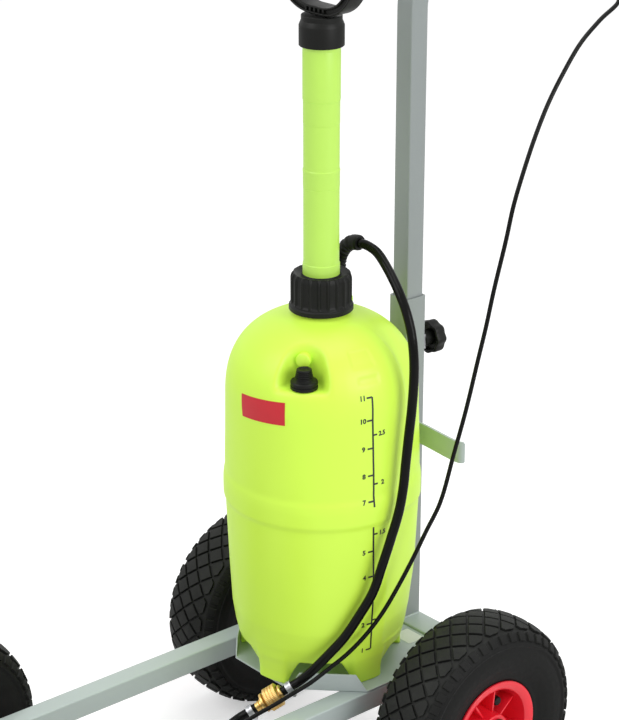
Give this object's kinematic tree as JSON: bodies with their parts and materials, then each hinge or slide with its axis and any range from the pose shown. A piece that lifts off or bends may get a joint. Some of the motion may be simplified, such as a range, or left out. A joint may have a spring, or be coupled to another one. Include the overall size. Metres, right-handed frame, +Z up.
{
  "type": "wheeled sprayer cart",
  "caption": "Pump-up sprayer tank on a low four-wheeled tube frame, with a sliding push post, a hose with a quick coupling, and a lever-and-cable spray valve low at the front.",
  "frame": {"origin": "on the ground, under the middle of the cart's overall box", "axes": "+X to the right of somebody pushing the cart, +Y back towards that person, so the cart rolls forward along -Y, +Z up"},
  "size_m": [0.48, 0.9994, 1.0163],
  "materials": {
    "frame_paint": "pale grey-green powder coat, semi-gloss",
    "zinc_steel": "bright zinc-plated steel",
    "black_plastic": "black moulded plastic, satin",
    "black_rubber": "black rubber, smooth",
    "cable_jacket": "black plastic cable jacket, glossy",
    "tank_plastic": "fluorescent yellow-green polyethylene, soft sheen",
    "pump_plastic": "fluorescent green translucent-looking plastic",
    "nylon": "natural nylon",
    "brass": "turned brass, knurled bands",
    "tyre": "black block-tread tyre rubber",
    "red_plastic": "bright red moulded plastic"
  },
  "bodies": {
    "frame": {"side_tube_left": "frame_paint", "side_tube_right": "frame_paint", "rear_cross_beam": "frame_paint", "front_cross_tube": "frame_paint", "tray": "frame_paint", "post_sleeve": "frame_paint", "tank_backrest": "frame_paint", "valve_bracket": "frame_paint", "rear_axle": "zinc_steel", "front_axle": "zinc_steel", "clamp_nut": "zinc_steel", "hose_clamp_upper": "zinc_steel", "hose_clamp_lower": "zinc_steel", "tube_plug_left": "black_plastic", "tube_plug_right": "black_plastic", "pump_collar": "black_plastic", "relief_valve_body": "black_plastic", "outlet_fitting": "black_plastic", "spray_nozzle": "black_plastic", "bend_protector": "black_rubber", "tank_hose": "black_rubber", "valve_hose": "black_rubber", "control_cable": "cable_jacket", "tank_shell": "tank_plastic", "pump_cylinder": "pump_plastic", "dip_tube": "nylon", "coupling_socket": "brass", "coupling_plug": "brass", "spray_valve_body": "brass", "axle_cap_rear_left": "black_plastic", "axle_cap_rear_right": "black_plastic", "axle_cap_front_left": "black_plastic", "axle_cap_front_right": "black_plastic"},
    "wheel_rear_left": {"tyre_rear_left": "tyre", "rim_rear_left": "red_plastic", "bush_rear_left": "nylon"},
    "wheel_rear_right": {"tyre_rear_right": "tyre", "rim_rear_right": "red_plastic", "bush_rear_right": "nylon"},
    "wheel_front_left": {"tyre_front_left": "tyre", "rim_front_left": "red_plastic", "bush_front_left": "nylon"},
    "wheel_front_right": {"tyre_front_right": "tyre", "rim_front_right": "red_plastic", "bush_front_right": "nylon"},
    "post": {"post_tube": "frame_paint", "handle_bar": "frame_paint", "grip_left": "black_rubber", "grip_right": "black_rubber", "lever_bracket": "black_plastic"},
    "clamp": {"clamp_knob": "black_plastic", "clamp_screw": "zinc_steel"},
    "plunger": {"pump_handle": "black_plastic", "pump_rod": "zinc_steel", "pump_piston": "black_rubber"},
    "tank_cap": {"cap_nut": "black_plastic"},
    "relief_knob": {"relief_valve_knob": "black_plastic"},
    "squeeze_lever": {"hand_lever": "black_plastic"},
    "valve_lever": {"spray_valve_lever": "zinc_steel"},
    "release_sleeve": {"coupling_sleeve": "brass"}
  },
  "joints": [
    {"name": "wheel_rear_left_roll", "type": "hinge", "parent": "frame", "child": "wheel_rear_left", "pos_m": [-0.1927, 0.12725, 0.13], "axis": [1, 0, 0], "continuous": true},
    {"name": "wheel_rear_right_roll", "type": "hinge", "parent": "frame", "child": "wheel_rear_right", "pos_m": [0.1927, 0.12725, 0.13], "axis": [1, 0, 0], "continuous": true},
    {"name": "wheel_front_left_roll", "type": "hinge", "parent": "frame", "child": "wheel_front_left", "pos_m": [-0.1927, -0.36975, 0.13], "axis": [1, 0, 0], "continuous": true},
    {"name": "wheel_front_right_roll", "type": "hinge", "parent": "frame", "child": "wheel_front_right", "pos_m": [0.1927, -0.36975, 0.13], "axis": [1, 0, 0], "continuous": true},
    {"name": "post_height", "type": "slide", "parent": "frame", "child": "post", "axis": [0, 0, 1], "range_m": [-0.2, 0.1], "deforming": ["control_cable"]},
    {"name": "clamp_turn", "type": "hinge", "parent": "frame", "child": "clamp", "pos_m": [0, 0.21625, 0.524], "axis": [0, 1, 0], "range_deg": [0, 360]},
    {"name": "pump_stroke", "type": "slide", "parent": "frame", "child": "plunger", "axis": [0, 0, 1], "range_m": [0, 0.25]},
    {"name": "tank_cap_turn", "type": "hinge", "parent": "frame", "child": "tank_cap", "pos_m": [0, 0.06025, 0.62], "axis": [0, 0, 1], "range_deg": [0, 360]},
    {"name": "relief_lift", "type": "slide", "parent": "frame", "child": "relief_knob", "axis": [0, 0, 1], "range_m": [0, 0.004], "stiffness_N_per_m": 500},
    {"name": "hand_lever_squeeze", "type": "hinge", "parent": "post", "child": "squeeze_lever", "pos_m": [0.072, 0.47125, 0.949], "axis": [-1, 0, 0], "range_deg": [0, 20], "stiffness_Nm_per_rad": 2},
    {"name": "valve_lever_turn", "type": "hinge", "parent": "frame", "child": "valve_lever", "pos_m": [0.02, -0.28265, 0.133], "axis": [0, 0, 1], "range_deg": [0, 45], "stiffness_Nm_per_rad": 0.05},
    {"name": "coupling_release", "type": "slide", "parent": "frame", "child": "release_sleeve", "axis": [0.48, 0.6951, 0.5351], "range_m": [0, 0.0035], "stiffness_N_per_m": 800}
  ],
  "couplings": [
    {"joint": "valve_lever_turn", "follows": "hand_lever_squeeze", "ratio": 2.25}
  ]
}
